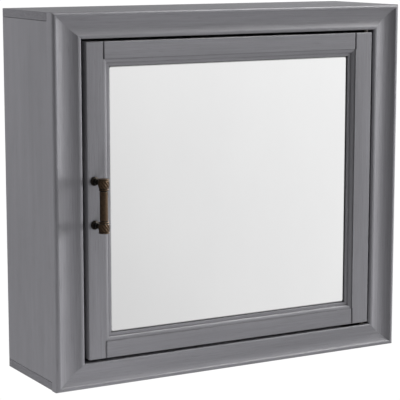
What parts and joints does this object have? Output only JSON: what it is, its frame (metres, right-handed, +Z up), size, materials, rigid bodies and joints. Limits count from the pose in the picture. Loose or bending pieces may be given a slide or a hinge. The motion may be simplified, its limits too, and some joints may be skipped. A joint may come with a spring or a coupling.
{
  "type": "hanging wall cabinet",
  "caption": "Grey painted hanging wall cabinet with a moulded front frame, an inset mirrored door on pivot hinges, a bar handle, and shelves inside.",
  "frame": {"origin": "centre of the four wall screw holes, on the cabinet's back plane", "axes": "+X to the right seen from the front, +Y from the front towards the wall, +Z up"},
  "size_m": [0.6, 0.2145, 0.55],
  "materials": {
    "painted_wood": "grey paint over wood, satin, faint grain",
    "bare_wood": "unfinished beech",
    "hardboard": "smooth hardboard",
    "zinc_steel": "zinc plated",
    "hinge_steel": "dark bronzed steel",
    "aged_bronze": "dark aged bronze, rubbed on the high spots",
    "mirror": "silvered glass",
    "catch_plastic": "white moulded plastic",
    "magnet": "ferrite",
    "bumper_rubber": "clear soft rubber"
  },
  "bodies": {
    "cabinet": {"top_panel": "painted_wood", "bottom_panel": "painted_wood", "side_panel_left": "painted_wood", "side_panel_right": "painted_wood", "back_panel": "hardboard", "hanging_rail_upper": "painted_wood", "hanging_rail_lower": "painted_wood", "moulding_top": "painted_wood", "moulding_bottom": "painted_wood", "moulding_left": "painted_wood", "moulding_right": "painted_wood", "shelf_upper": "painted_wood", "shelf_lower": "painted_wood", "shelf_pins": "zinc_steel", "carcass_dowels": "bare_wood", "frame_dowels": "bare_wood", "rail_dowels": "bare_wood", "mitre_biscuits": "bare_wood", "back_nails": "zinc_steel", "catch_block": "painted_wood", "catch_housing": "catch_plastic", "catch_magnet": "magnet", "catch_screws": "zinc_steel", "stop_blocks": "painted_wood", "hinge_frame_leaf_top": "hinge_steel", "hinge_frame_leaf_bottom": "hinge_steel", "hinge_pin_top": "hinge_steel", "hinge_pin_bottom": "hinge_steel", "hinge_washer_top": "hinge_steel", "hinge_washer_bottom": "hinge_steel", "hinge_frame_screws": "hinge_steel"},
    "door": {"door_stile_left": "painted_wood", "door_stile_right": "painted_wood", "door_rail_top": "painted_wood", "door_rail_bottom": "painted_wood", "door_dowels": "bare_wood", "mirror_glass": "mirror", "mirror_backing": "hardboard", "mirror_bead_left": "painted_wood", "mirror_bead_right": "painted_wood", "mirror_bead_top": "painted_wood", "mirror_bead_bottom": "painted_wood", "bead_pins": "zinc_steel", "handle_bar": "aged_bronze", "handle_post_upper": "aged_bronze", "handle_post_lower": "aged_bronze", "handle_screws": "zinc_steel", "hinge_door_leaf_top": "hinge_steel", "hinge_door_leaf_bottom": "hinge_steel", "hinge_door_screws": "hinge_steel", "strike_plate": "zinc_steel", "strike_screws": "zinc_steel", "door_bumpers": "bumper_rubber"}
  },
  "joints": [
    {"name": "door_hinge", "type": "hinge", "parent": "cabinet", "child": "door", "pos_m": [0.2415, -0.1685, 0], "axis": [0, 0, 1], "range_deg": [0, 110]}
  ]
}
